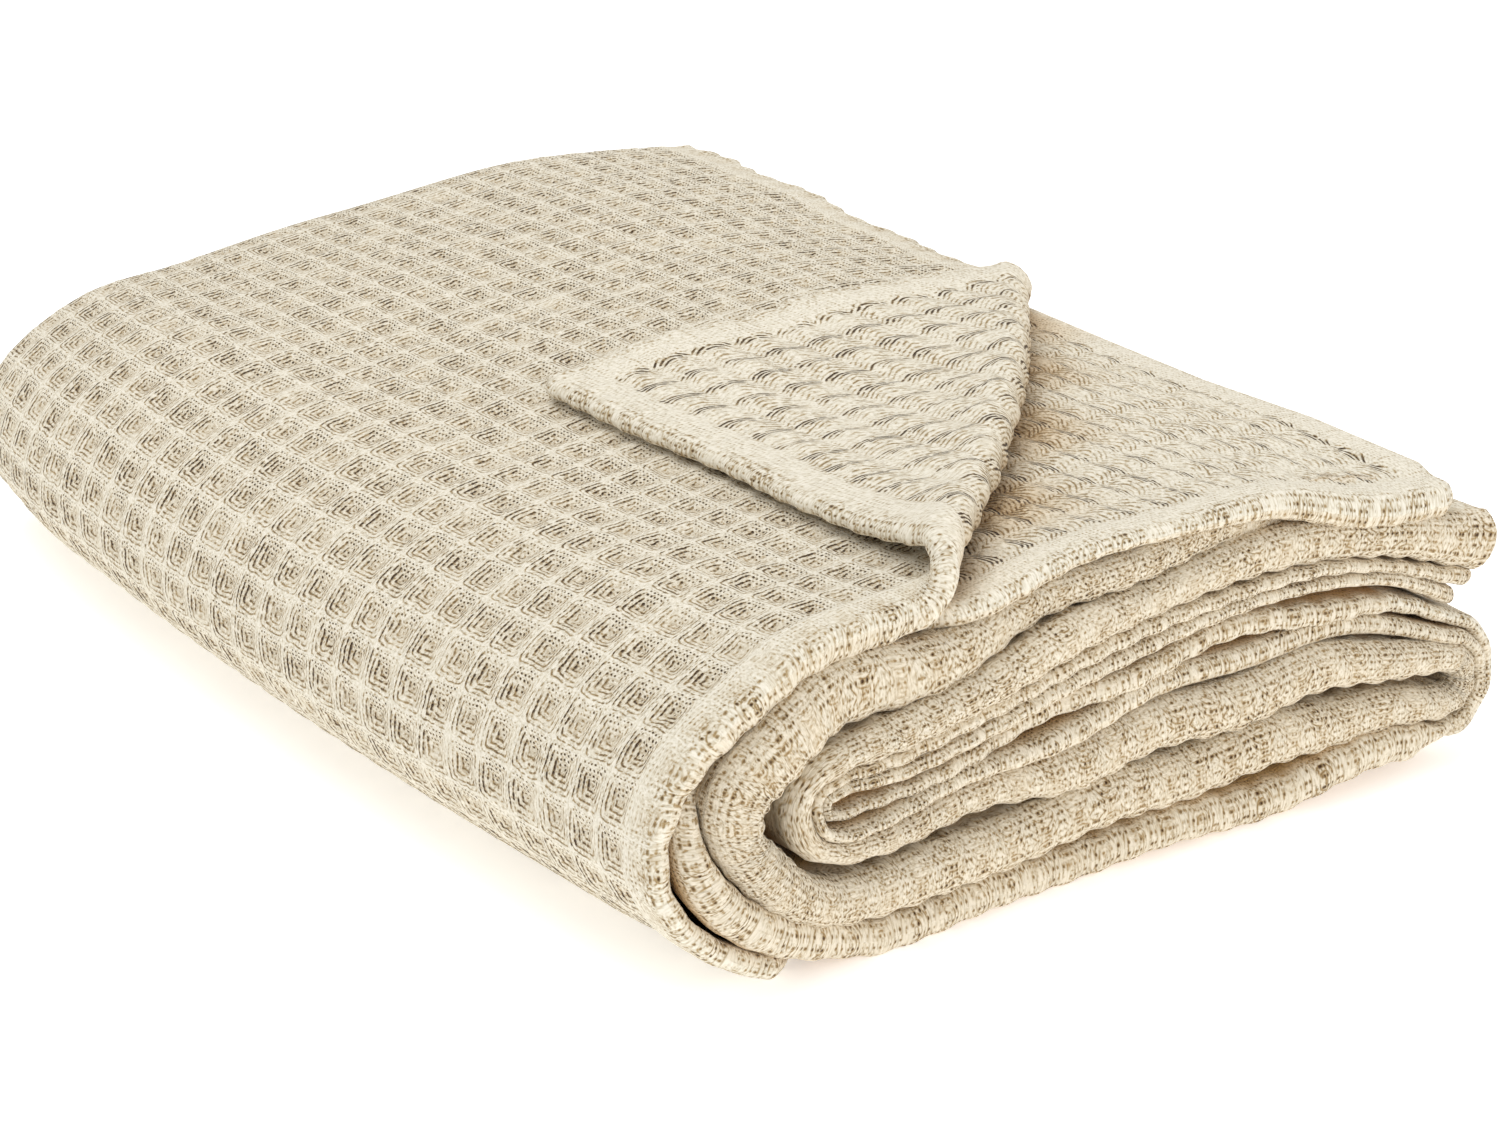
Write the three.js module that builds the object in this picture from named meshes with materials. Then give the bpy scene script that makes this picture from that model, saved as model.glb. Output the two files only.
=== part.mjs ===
import * as THREE from 'three';

// A folded waffle-weave blanket, lying on a table, as one piece of cloth. Sizes are in
// millimetres. X runs from the big rounded fold to the loose ends, Y from the hemmed front
// to the back, and Z up from the table. The cloth is first folded in four, so that two hems
// and one fold lie at the front. That four-layer strip is then folded over twice. The shape is
// worked out from the front left corner, and then moved to stand over the middle of its foot.

// Sizes of the cloth
const PLY_HALF = 2.4;          // half the thickness of one layer
const HEM_HALF = 3.9;          // half the thickness of a turned and stitched hem
const UNDER_HALF = 6.6;        // the same for the hem that bulges under the pile
const HEM_WIDTH = 13;          // width of a hem
const HEM_EDGE = 2.5;          // distance over which a hem rounds off at its edge
const HEM_STEP = 4.5;          // distance over which a hem thins to the plain cloth
const AIR = 0.7;               // half the air kept between neighbouring layers

// Sizes of the fold in four, along Y
const DEPTH = 444;             // front hems to the start of the back fold
const BACK_BULGE = 13;         // how far the outer back fold rounds out
const INNER_BACK = 15;         // how far the inner back fold stays inside the outer one
const INNER_BULGE = 6;
const FRONT_FOLD = 8;          // depth of the rounded fold between the hems
const OUTER_LEVEL = 0.78;      // places of the layers across the strip, in half strips
const INNER_LEVEL = 0.26;

// The middle of the four-layer strip on the front face, from the loose end on top, round the
// big fold, along the table, round the second fold, round the core and out to the other end.
// half is half the thickness of the strip there.
const STRIP = [
  { x: 296, z: 90.5, half: 11.5 },
  { x: 262, z: 97.3, half: 12 },
  { x: 215, z: 105.6, half: 11.5 },
  { x: 140, z: 103.6, half: 11 },
  { x: 75, z: 93.4, half: 14.5 },
  { x: 36, z: 88.8, half: 15.2 },
  { x: 6.5, z: 70, half: 16.4 },
  { x: -1.5, z: 47, half: 18 },
  { x: 9, z: 27.2, half: 17.6 },
  { x: 36, z: 14.9, half: 16 },
  { x: 140, z: 15.5, half: 17.4 },
  { x: 215, z: 16.2, half: 18 },
  { x: 258, z: 18, half: 13.5 },
  { x: 287, z: 15.4, half: 10.2 },
  { x: 296.2, z: 19.2, half: 10.2 },
  { x: 300, z: 28.4, half: 10.2 },
  { x: 296.2, z: 37.6, half: 10.2 },
  { x: 287, z: 41.4, half: 10.2 },
  { x: 262, z: 49.2, half: 12.4 },
  { x: 215, z: 54.6, half: 16.6 },
  { x: 140, z: 50, half: 16.2 },
  { x: 104, z: 46.2, half: 12.2 },
  { x: 68, z: 43, half: 9.2 },
  { x: 38.8, z: 42.5, half: 8 },
  { x: 31.6, z: 45.5, half: 8 },
  { x: 28.6, z: 52.7, half: 8 },
  { x: 31.6, z: 59.9, half: 8 },
  { x: 38.8, z: 62.9, half: 8 },
  { x: 68, z: 63.8, half: 9.2 },
  { x: 104, z: 71.6, half: 11 },
  { x: 140, z: 79.4, half: 12 },
  { x: 215, z: 83.4, half: 9.8 },
  { x: 262, z: 75.5, half: 9 },
  { x: 307, z: 60.5, half: 13.6 },
];

// How the free ends of the layers stagger. start is on the top end, finish on the inner end,
// and the top end is drawn in by skew over the distance run from the front.
const ENDS = {
  outerHem: { start: 27, finish: 7, skew: -32, run: 444 },
  outerFold: { start: 5, finish: 1, skew: 0, run: 100 },
  innerFold: { start: 3, finish: 2, skew: 0, run: 100 },
  innerHem: { start: 0, finish: 4.5, skew: 12, run: 100 },
};

// Along the table the outer hem is tucked in, and the inner one bulges down in front of it
const TUCK = { from: 74, to: 272, in: 19, down: 0.18 };

// The corner of the top layer, turned back over a crease that runs between these points
const CREASE = [new THREE.Vector2(77, 13), new THREE.Vector2(273, 205)];
const CREASE_RADIUS = { front: 4.6, back: 9.5 };
const LOOSE = 0.8;             // how far the top layer rides above its place in the strip
const FLAP_REST = 7.8;         // height of the flap's middle over that of the layer under it
const FLAP_SETTLE = 16;        // distance from the crease over which the flap comes to rest

// How high the settled pile stands behind its front face, as a share of the height there, at
// the big fold, in the middle and at the loose ends
const SINK = [
  { y: 0, fold: 1, middle: 1, ends: 1 },
  { y: 60, fold: 0.96, middle: 0.95, ends: 0.97 },
  { y: 150, fold: 0.91, middle: 0.91, ends: 0.95 },
  { y: 220, fold: 0.89, middle: 0.9, ends: 0.94 },
  { y: 330, fold: 0.86, middle: 0.85, ends: 0.89 },
  { y: 480, fold: 0.74, middle: 0.76, ends: 0.81 },
];

// Steps of the mesh
const HEM_INNER = HEM_WIDTH + HEM_STEP - 1;
const HEM_STEPS = [0, HEM_EDGE, HEM_WIDTH - 1, HEM_INNER];
const BACK_ROWS = [275, 358];
const LONGEST_STEP = 38;
const SHARPEST_TURN = THREE.MathUtils.degToRad(24);
const CREASE_STEPS = 4;
const FLAP_STEPS = 3;

// The middle of the footprint, measured from the front left corner
const MIDDLE = new THREE.Vector2(141.43, 232.53);

const COLOUR = '#e6dcc6';

const path = new THREE.CatmullRomCurve3(
  STRIP.map((row) => new THREE.Vector3(row.x, row.half, row.z)), false, 'centripetal');
path.arcLengthDivisions = 2000;
const pathLength = path.getLength();

const creaseAlong = CREASE[1].clone().sub(CREASE[0]).normalize();
const creaseAcross = new THREE.Vector2(creaseAlong.y, -creaseAlong.x);
const creaseLength = CREASE[1].distanceTo(CREASE[0]);
const creaseWidth = (Math.PI * CREASE_RADIUS.front) / creaseAcross.x;
const narrowEnd = HEM_WIDTH + HEM_STEP + creaseWidth + 6;

const { smoothstep, lerp, clamp } = THREE.MathUtils;

// A point of the strip's middle line, with the side that the outer layer lies on
function stripAt(distance) {
  const at = clamp(distance / pathLength, 0, 1);
  const point = path.getPointAt(at);
  const tangent = path.getTangentAt(at);
  const length = Math.hypot(tangent.x, tangent.z);
  const beyond = distance - at * pathLength;
  return {
    x: point.x + (beyond * tangent.x) / length,
    z: point.z + (beyond * tangent.z) / length,
    half: point.y,
    outX: tangent.z / length,
    outZ: -tangent.x / length,
    under: tangent.x > 0 ? 1 - smoothstep(point.z, 20, 32) : 0,
  };
}

// Distances along the strip at which the mesh has a column, closer where the strip bends
function stripColumns() {
  const columns = endColumns(narrowEnd);
  const finish = HEM_STEPS.map((step) => pathLength - step).reverse();
  let distance = narrowEnd;
  while (true) {
    let step = LONGEST_STEP;
    const here = stripAt(distance);
    while (turnBetween(here, stripAt(distance + step)) > SHARPEST_TURN) step *= 0.85;
    distance += step;
    if (distance > finish[0] - LONGEST_STEP / 2) break;
    columns.push(distance);
  }
  return columns.concat(finish);
}

function turnBetween(a, b) {
  return Math.acos(clamp(a.outX * b.outX + a.outZ * b.outZ, -1, 1));
}

// Columns of an end of the given width: the hem, the flap and the crease
function endColumns(width) {
  const columns = [...HEM_STEPS];
  const hem = HEM_STEPS.at(-1);
  const flap = width - creaseWidth;
  for (let i = 1; i <= FLAP_STEPS; i += 1) columns.push(lerp(hem, flap, i / FLAP_STEPS));
  for (let i = 1; i <= CREASE_STEPS; i += 1) columns.push(lerp(flap, width, i / CREASE_STEPS));
  return columns;
}

// Rows of the mesh across the cloth: down the outer hem layer, round the back fold, and so on.
// level is the place across the strip in half strips, and (faceY, faceLevel) is the side
// that the waffle face looks to.
function clothRows() {
  const rows = [];
  const inner = DEPTH - INNER_BACK;
  const backwards = [...BACK_ROWS].reverse();
  const flat = (layer, level, face, places) => {
    for (const y of places) rows.push({ layer, y, level, faceY: 0, faceLevel: face });
  };
  const fold = (layer, y, level, bulge, height, side, steps) => {
    for (let i = 1; i < steps; i += 1) {
      const angle = Math.PI * (i / steps - 0.5);
      rows.push({
        layer,
        y: y + bulge * Math.cos(angle),
        level: level + height * Math.sin(angle),
        faceY: side * Math.cos(angle) * Math.sign(bulge),
        faceLevel: side * Math.sin(angle) * Math.sign(height),
      });
    }
  };
  flat('outerHem', OUTER_LEVEL, 1, [...HEM_STEPS, 50, 92, 134, 172, 200, 213, 228,
    ...BACK_ROWS, DEPTH]);
  fold('outerFold', DEPTH, 0, BACK_BULGE, -OUTER_LEVEL, 1, 6);
  flat('outerFold', -OUTER_LEVEL, -1, [DEPTH, ...backwards, 165, 75, 22, FRONT_FOLD]);
  fold('innerFold', FRONT_FOLD, -(OUTER_LEVEL + INNER_LEVEL) / 2, -FRONT_FOLD,
    (OUTER_LEVEL - INNER_LEVEL) / 2, 1, 4);
  flat('innerFold', -INNER_LEVEL, 1, [FRONT_FOLD, 22, 75, 165, ...BACK_ROWS, inner]);
  fold('innerHem', inner, 0, INNER_BULGE, INNER_LEVEL, -1, 4);
  flat('innerHem', INNER_LEVEL, -1, [inner, ...backwards, 205, 110, 50, ...[...HEM_STEPS].reverse()]);
  return rows;
}

// Half the thickness of the cloth at a distance from its nearest hemmed edge or front fold
function halfThickness(row, edge, at) {
  const room = (at.half * (OUTER_LEVEL - INNER_LEVEL)) / 2 - AIR;
  const bulge = row.layer === 'innerHem' ? tucked(row.y, at) ** 3 : 0;
  const hem = lerp(Math.min(HEM_HALF, room), UNDER_HALF, bulge);
  const fromFold = row.layer.endsWith('Fold') ? Math.max(row.y, 0) : Infinity;
  const inwards = smoothstep(Math.min(edge, fromFold), HEM_WIDTH - 1, HEM_INNER);
  const rounded = 0.45 + 0.55 * smoothstep(edge, 0, HEM_EDGE);
  return lerp(hem, Math.min(PLY_HALF, room), inwards) * rounded;
}

// How much of the tuck along the table a point near the front has
function tucked(y, at) {
  const along = smoothstep(at.x, TUCK.from - 38, TUCK.from) * (1 - smoothstep(at.x, TUCK.to, TUCK.to + 20));
  return at.under * along * (1 - smoothstep(y, HEM_WIDTH - 1, HEM_WIDTH + 12));
}

// Where the crease crosses a row, as a distance along the strip
function creaseDistance(y) {
  const crossing = CREASE[0].x + ((y - CREASE[0].y) * creaseAlong.x) / creaseAlong.y;
  return (STRIP[0].x - crossing) * 1.03;
}

// Columns of one row. Those of the top layer follow the crease of the turned-back corner.
function rowColumns(row, columns, shoulder) {
  const ends = ENDS[row.layer];
  const start = ends.start + ends.skew * clamp(row.y / ends.run, 0, 1);
  const width = row.layer === 'outerHem' ? Math.max(narrowEnd, creaseDistance(row.y) - start)
    : narrowEnd;
  const end = endColumns(width);
  return columns.map((distance, index) => {
    if (index < end.length) return start + end[index];
    const finish = pathLength - ends.finish;
    const across = (distance - narrowEnd) / (shoulder - narrowEnd);
    if (distance < shoulder) return lerp(start + width, shoulder, across);
    const run = (distance - shoulder) / (pathLength - shoulder);
    const tail = pathLength - distance;
    return tail < HEM_STEPS.at(-1) + 0.01 ? finish - tail : lerp(shoulder, finish, run);
  });
}

// Small in-and-out runs of each layer's front edge, fading towards the back
function frontRun(row, distance, at) {
  const fade = 1 - smoothstep(row.y, 0, 80);
  if (row.layer === 'outerHem') {
    return fade * (1.5 + 1.6 * Math.sin(distance / 47 + 0.6) + TUCK.in * (1 - (1 - tucked(0, at)) ** 3));
  }
  if (row.layer === 'innerHem') return fade * (0.4 + 1.7 * Math.sin(distance / 39 + 2.1));
  return fade * (1.2 + 1.8 * Math.sin(distance / 53 + 4.0));
}

// Height of the top layer's middle on the front face, at a place along X
function topHeight(x, profile) {
  for (let i = 1; i < profile.length; i += 1) {
    const [a, b] = [profile[i - 1], profile[i]];
    if (x <= a.x && x >= b.x) return lerp(b.z, a.z, (x - b.x) / (a.x - b.x));
  }
  return profile[0].z;
}

// Turns a point of the top layer back over the crease
function turnBack(point, side, profile) {
  const from = new THREE.Vector2(point.x, point.y).sub(CREASE[0]);
  const beyond = from.dot(creaseAcross);
  if (beyond <= 0) return point.setZ(point.z + side);
  const along = clamp(from.dot(creaseAlong) / creaseLength, 0, 1);
  const radius = lerp(CREASE_RADIUS.front, CREASE_RADIUS.back, along);
  const bend = Math.min(beyond / radius, Math.PI);
  const past = beyond - bend * radius;
  const rest = lerp(2 * radius, FLAP_REST, 1 - Math.exp(-past / FLAP_SETTLE));
  const across = bend < Math.PI ? (radius - side) * Math.sin(bend) : -past;
  const height = bend < Math.PI ? radius - (radius - side) * Math.cos(bend) : rest - side;
  point.x += (across - beyond) * creaseAcross.x;
  point.y += (across - beyond) * creaseAcross.y;
  point.z = topHeight(point.x, profile) + height;
  return point;
}

// Share of its front height that the pile keeps at a place
function sinkAt(x, y) {
  const next = Math.max(1, SINK.findIndex((row) => row.y >= y));
  const [a, b] = [SINK[next - 1], SINK[next]];
  const across = smoothstep(y, a.y, b.y);
  const fold = lerp(a.fold, b.fold, across);
  const middle = lerp(a.middle, b.middle, across);
  const ends = lerp(a.ends, b.ends, across);
  return x < 150 ? lerp(fold, middle, smoothstep(x, -20, 150))
    : lerp(middle, ends, smoothstep(x, 150, 300));
}

// The whole pile settles: it is higher at the thick front hems and leans back a little
function settle(point) {
  const { x, y, z } = point;
  const left = 1 - smoothstep(x, -20, 150);
  const along = clamp(y / (DEPTH + BACK_BULGE), 0, 1);
  const bulge = -9 * Math.sin(Math.PI * along) + 10 * smoothstep(y, 370, 470);
  const ripple = 1.1 * Math.sin(x / 41 + 0.8) * Math.sin(y / 57 + 0.4) * (z / 100);
  return point.set(x + bulge * left, y + 0.075 * z, Math.max(0, z * sinkAt(x, y) + ripple));
}

function clothGeometry() {
  const columns = stripColumns();
  const rows = clothRows();
  const shoulder = columns.find((distance) => stripAt(distance).x < 34);
  const profile = columns.filter((distance) => distance <= shoulder).map((distance) => {
    const at = stripAt(distance);
    return {
      x: at.x + at.outX * OUTER_LEVEL * at.half,
      z: at.z + at.outZ * OUTER_LEVEL * at.half + LOOSE * smoothstep(at.x, 34, 90),
    };
  });
  const positions = [];
  for (const side of [1, -1]) {
    for (const row of rows) {
      const along = rowColumns(row, columns, shoulder);
      along.forEach((distance) => {
        const at = stripAt(distance);
        const hemmed = row.layer === 'outerHem' || row.layer === 'innerHem';
        const fromFront = hemmed && row.faceY === 0 ? row.y : Infinity;
        const edge = Math.min(fromFront, distance - along[0], along.at(-1) - distance);
        const thick = side * halfThickness(row, edge, at);
        const top = row.layer === 'outerHem' && distance < shoulder && row.faceY === 0;
        const lowered = row.layer === 'innerHem' ? TUCK.down * tucked(row.y, at) ** 3 : 0;
        const level = (row.level + lowered) * at.half + (top ? 0 : thick * row.faceLevel);
        const point = new THREE.Vector3(
          at.x + at.outX * level,
          row.y + thick * row.faceY + frontRun(row, distance, at),
          at.z + at.outZ * level,
        );
        settle(top ? turnBack(point, thick, profile) : point);
        positions.push(point.x, point.y, point.z);
      });
    }
  }
  const geometry = new THREE.BufferGeometry();
  geometry.setAttribute('position', new THREE.Float32BufferAttribute(positions, 3));
  geometry.setIndex(shellIndex(rows.length, columns.length));
  geometry.translate(-MIDDLE.x, -MIDDLE.y, 0);
  return geometry;
}

// Triangles of two facing grids and of the narrow walls that join their rims
function shellIndex(rowCount, columnCount) {
  const index = [];
  const at = (side, row, column) => (side * rowCount + row) * columnCount + column;
  const quad = (a, b, c, d) => index.push(a, b, c, a, c, d);
  for (let row = 0; row + 1 < rowCount; row += 1) {
    for (let column = 0; column + 1 < columnCount; column += 1) {
      quad(at(0, row, column), at(0, row + 1, column), at(0, row + 1, column + 1),
        at(0, row, column + 1));
      quad(at(1, row, column), at(1, row, column + 1), at(1, row + 1, column + 1),
        at(1, row + 1, column));
    }
  }
  const last = { row: rowCount - 1, column: columnCount - 1 };
  for (let column = 0; column < last.column; column += 1) {
    quad(at(0, 0, column), at(0, 0, column + 1), at(1, 0, column + 1), at(1, 0, column));
    quad(at(0, last.row, column + 1), at(0, last.row, column), at(1, last.row, column),
      at(1, last.row, column + 1));
  }
  for (let row = 0; row < last.row; row += 1) {
    quad(at(0, row + 1, 0), at(0, row, 0), at(1, row, 0), at(1, row + 1, 0));
    quad(at(0, row, last.column), at(0, row + 1, last.column), at(1, row + 1, last.column),
      at(1, row, last.column));
  }
  return index;
}

const blanket = new THREE.Group();
const cloth = new THREE.Mesh(
  clothGeometry(),
  new THREE.MeshStandardMaterial({ color: COLOUR, roughness: 0.95, metalness: 0 }),
);
cloth.name = 'folded_cloth';
blanket.add(cloth);

export default blanket;
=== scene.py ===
# A folded waffle-weave cotton blanket on a pale floor. The cloth is one closed sheet. Its
# folds repeat the solid's, with the weave's cells, the hems and the lumpy edges added as
# geometry, and the single threads as bump and colour in the material.
# The shape is worked out in millimetres, from the front left corner of the pile. X runs from
# the big rounded fold to the loose ends, Y from the hemmed front to the back, and Z is up.
import math

import bpy
import numpy as np
from mathutils import Matrix, Vector


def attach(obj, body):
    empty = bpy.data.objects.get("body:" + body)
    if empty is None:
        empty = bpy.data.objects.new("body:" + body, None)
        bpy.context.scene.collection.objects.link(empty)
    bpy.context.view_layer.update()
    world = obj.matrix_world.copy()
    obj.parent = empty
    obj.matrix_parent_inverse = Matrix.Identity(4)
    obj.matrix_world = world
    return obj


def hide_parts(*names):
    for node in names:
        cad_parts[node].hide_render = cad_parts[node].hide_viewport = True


MM = 0.001
FAR = 1000.0                    # mm, farther than anything in the pile

# Sizes of the cloth
PLY_HALF = 2.4                  # half the thickness of one layer
HEM_HALF = 3.9                  # half the thickness of a turned and stitched hem
UNDER_HALF = 6.6                # the same for the hem that bulges under the pile
HEM_WIDTH = 13.0
HEM_THINS = (12.0, 16.5)        # distances from the edge, between which a hem thins
NOSE = 3.0                      # distance over which an edge rounds off
THICK_NOSE = 0.8                # the same for a thick edge, as a share of its half thickness
BLUNT_NOSE = 0.003              # an edge ends this share of that distance early, to stay open
AIR = 0.15                      # half the air kept between neighbouring layers

# Sizes of the waffle weave
CELL = (12.5, 15.7)             # one cell, along the strip and across it
THREADS = 9                     # threads across one cell
PIT = 2.7                       # depth of a cell's pit on the waffle face
PROUD = 0.25                    # how far a ridge stands over the layer's mean thickness
BULGE = 1.5                     # height of the lump behind a cell on the reverse
HOLLOW = 0.9                    # depth of the hollows between those lumps
HEM_RELIEF = 0.3                # share of the relief that is left on a hem
HEM_PLAIN = (11.0, 17.0)        # distances from the edge, between which it grows to its full
NOSE_RELIEF = 0.5               # its share on the front folds
LUMP = 1.0                      # how far an edge swells out at the middle of each cell
END_LUMP = 2.2                  # the same for the ends of the strip
LUMP_FADE = 8.0                 # distance from the edge over which those lumps fade
END_WAVE = {"size": 1.7, "length": 62.0, "fade": 40.0}  # how the ends run in and out
WANDER = 0.55                   # how far the lines of cells stray from straight
WANDER_ALONG = (43.0, 71.0)     # and how fast: mm in a radian, across the strip and along it
WANDER_ACROSS = (61.0, 37.0)
CORNER = 10.0                   # radius of the hemmed corners

# Sizes of the fold in four, along Y
DEPTH = 444.0                   # front hems to the start of the back fold
BACK_BULGE = 13.0               # how far the outer back fold rounds out
INNER_BACK = 15.0               # how far the inner back fold stays inside the outer one
INNER_BULGE = 6.0
FRONT_FOLD = 8.0                # depth of the rounded fold between the hems
FOLD_ARC = FRONT_FOLD * math.pi / 2
FOLD_BLUNT = 0.7                # 1 is a half-round front fold, and less is blunter
OUTER_LEVEL = 0.78              # middle of an outer layer, from the strip's middle, in half strips
INNER_LEVEL = 0.26              # and of an inner one

# The middle of the four-layer strip on the front face, from the loose end on top, round the
# big fold, along the table, round the second fold, round the core and out to the other end:
# x, z and half the thickness of the strip.
STRIP = (
    (296, 90.5, 11.5), (262, 97.3, 12), (215, 105.6, 11.5), (140, 103.6, 11),
    (75, 92.2, 15.7), (36.5, 87.7, 16.3), (7.5, 69.2, 17.6), (1, 47, 20.5), (10.1, 28.6, 19.4),
    (36, 14.9, 16), (140, 15.5, 17.4), (215, 16.2, 18), (258, 18, 13.5),
    (287, 15.4, 10.2), (296.2, 19.2, 10.2), (300, 28.4, 10.2), (296.2, 37.6, 10.2),
    (287, 41.4, 10.2), (262, 49.2, 12.4), (215, 54.6, 16.6), (140, 50, 16.2),
    (104, 46.2, 12.2), (68, 43, 9.2), (44, 42.5, 8), (37, 45.5, 8), (34.2, 52.7, 8),
    (37, 59.9, 8), (44, 62.9, 8), (68, 64.8, 10.2), (104, 71.8, 11.2), (140, 79.4, 12),
    (215, 83.4, 9.8), (262, 75.5, 9), (307, 60.5, 13.6),
)
SHOULDER_X = 34.0               # where the top layer starts to round over at the big fold
SHOULDER_END = 26.0             # and how far its height is worked out
OFF_TABLE = (20.0, 32.0)        # heights over which a run forwards is less and less on the table
NEUTRAL = 0.55                  # where the cloth keeps its length, as a share of OUTER_LEVEL

# The four layers, in the order that the cloth runs through them
OUTER_HEM, OUTER_FOLD, INNER_FOLD, INNER_HEM = range(4)

# How the free ends of the layers stagger: start is on the top end, finish on the inner end,
# and the top end is drawn in by skew between two distances from the front.
ENDS = {
    OUTER_HEM: {"start": 12.0, "finish": 7.0, "skew": -17.0, "between": (207.0, 444.0)},
    OUTER_FOLD: {"start": 5.0, "finish": 1.0, "skew": 0.0, "between": (0.0, 100.0)},
    INNER_FOLD: {"start": 3.0, "finish": 2.0, "skew": 0.0, "between": (0.0, 100.0)},
    INNER_HEM: {"start": 0.0, "finish": 4.5, "skew": 12.0, "between": (0.0, 100.0)},
}
END_EASE = 230.0                # distance over which a staggered end evens out

# Along the table the outer hem is tucked in, and the inner one bulges down in front of it
TUCK = {"from": (24.0, 62.0), "to": (272.0, 292.0), "rows": (12.0, 25.0), "in": 19.0,
        "down": 0.18}

# Along the first pass the front edges slip past each other. Each slip starts between the two
# distances along the strip in "from" and ends between those in "to". The inner hem droops, the
# outer hem then hangs over it, and the inner hem swells out again. "down", "hem", "fold" and
# "back" are moves in half strips, of the hem or of the inner and the outer folded layer, and
# "thick" and "hide" are in mm.
DROOP = {"to": (45.0, 125.0), "rows": (6.0, 38.0), "down": -0.7, "thick": 2.6, "hide": 17.0}
OVERHANG = {"from": (195.0, 235.0), "to": (285.0, 328.0), "thick": 6.0, "hide": 15.0,
            "fold": 0.3}
SWELL = {"from": (300.0, 335.0), "to": (370.0, 420.0), "hem": -0.1, "thick": 3.2,
         "fold": -0.12, "back": -0.04}
SLIP_ROWS = (12.0, 50.0)        # distances from the front over which the slip fades out

# How each front edge runs in and out: its mean place in mm, then the size, length over a turn
# and start of its slow wave, and the length and start of its quick one.
FRONT_EDGES = {
    OUTER_HEM: (1.5, (1.6, 295.0, 0.6), (74.0, 0.0)),
    INNER_HEM: (0.4, (1.7, 245.0, 2.1), (79.0, 1.9)),
    OUTER_FOLD: (1.2, (1.8, 333.0, 4.0), (68.0, 4.1)),
    INNER_FOLD: (1.2, (1.8, 333.0, 4.0), (68.0, 4.1)),
}
QUICK_WAVE = {"out": 0.9, "up": 0.07}  # in mm and in half strips
FRONT_FADE = 80.0               # distance from the front over which those runs fade out

# The core of the pile stands a little out of its front. The inner end of the strip is full: its
# outer folded layer lies lower there. Its distances are measured from that end.
CORE = {"from": (850.0, 920.0), "to": (1000.0, 1080.0), "out": 3.5}
FULL_END = {"to": (80.0, 150.0), "back": -0.42}

# The corner of the top layer, turned back over a crease that runs between these points
CREASE = np.array([(82.0, 8.0), (271.0, 207.0)])
CREASE_LENGTH = math.hypot(*(CREASE[1] - CREASE[0]))
CREASE_WAY = (CREASE[1] - CREASE[0]) / CREASE_LENGTH
CREASE_SAG = 10.0               # how far it bows towards the turned corner
CREASE_RADIUS = (7.0, 6.5)      # at the front and at the back
FLAP_STRETCH = 1.275            # how much the loose corner is drawn out
FLAP_SLANT = 0.165              # and how much it is drawn along the crease, to the back
FLAP_ROOM = 0.6                 # how much thicker the turned-back hem is than one in the pile
BARE_ROOM = 0.6                 # and the upper side of the hem that it leaves bare
ROOM_GROWS = (2.0, 16.0)        # mm past the crease, over which the hems grow by that
LEVEL_OFF = 25.0                # mm before the crease, over which the layer comes level
LOOSE = 0.8                     # how far the top layer rides above its place in the strip
LOOSE_X = 90.0                  # from here on to the loose end
FLAP_REST = 7.8                 # height of the flap's middle over that of the layer under it
FLAP_SETTLE = 16.0              # distance from the crease over which the flap comes to rest

# How high the settled pile stands behind its front face, as a share of the height there:
# distance from the front, then the share at the big fold, the middle and the loose ends
SINK = (
    (0, 1, 1, 1), (60, 0.96, 0.95, 0.97), (150, 0.91, 0.91, 0.95),
    (220, 0.89, 0.9, 0.94), (330, 0.86, 0.85, 0.89), (480, 0.74, 0.76, 0.81),
)
SINK_X = (-20.0, 150.0, 300.0)  # where the big fold, the middle and the loose ends are
LEFT_SIDE = {"in": 9.0, "out": 10.0, "back": (370.0, 470.0)}  # the big fold bows in, then out
LEAN_BACK = 0.075               # of the front face, for a mm of height
RIPPLE = {"size": 1.1, "x": (41.0, 0.8), "y": (57.0, 0.4), "height": 100.0}
MIDDLE = (141.43, 232.53)       # the middle of the footprint, from the front left corner

# Steps of the mesh
NOSE_STEPS = 4                  # round half of a rounded edge
LIP_ROWS = (6.0, 8.5)           # between the rounded edge and the depth that can be seen
HEM_ROWS = (11.0, 13.0)
CELL_STEPS = 6                  # across one cell, where the weave is seen closely
PLAIN_STEP = CELL[1] / 4        # out of sight, but close enough for the lumps of the ends
FOLD_STEP = 3.2                 # beside the front folds
FOLD_STEPS = {"back": 14, "inner_back": 5, "front": 10}  # round each rounded fold
BLOCK_CELLS = 3                 # cells across a block of the mesh that is kept or left coarse
BARE_BLOCKS = 6                 # rows of stops on the layer that the flap leaves bare
FRONT_BAND = HEM_WIDTH + CELL[1] / 2  # depth of the close rows beside the front folds
KEPT_FRONT = FRONT_FOLD - 0.1   # rows nearer to the front than this are all kept
END_BAND = HEM_WIDTH - 0.1      # columns nearer to an end than this are all kept
COARSE_ROWS = (68.0, 165.0, 275.0, 358.0)  # distances from the front of those out of sight
LONGEST_STEP = 30.0             # between two columns of the coarse mesh
SHARPEST_TURN = math.radians(26)
TOP_RUN = 320.0                 # mm of strip from the loose end to past the shoulder
OUTSIDE_SHARE = 0.31            # share of the strip that goes over the top and round the side
UNDERSIDE = 14.0                # height under which that side can't be seen
SECOND_FOLD = {"x": 262.0, "from": 0.5, "to": 0.66}  # shares of the strip
CLOSE_REACH = (-6.0, -14.0, 70.0)  # mm past the crease: the flap, the bare layer, under the flap
BARE_DEPTH = 215.0              # how far back the turned-back corner leaves cloth bare

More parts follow.
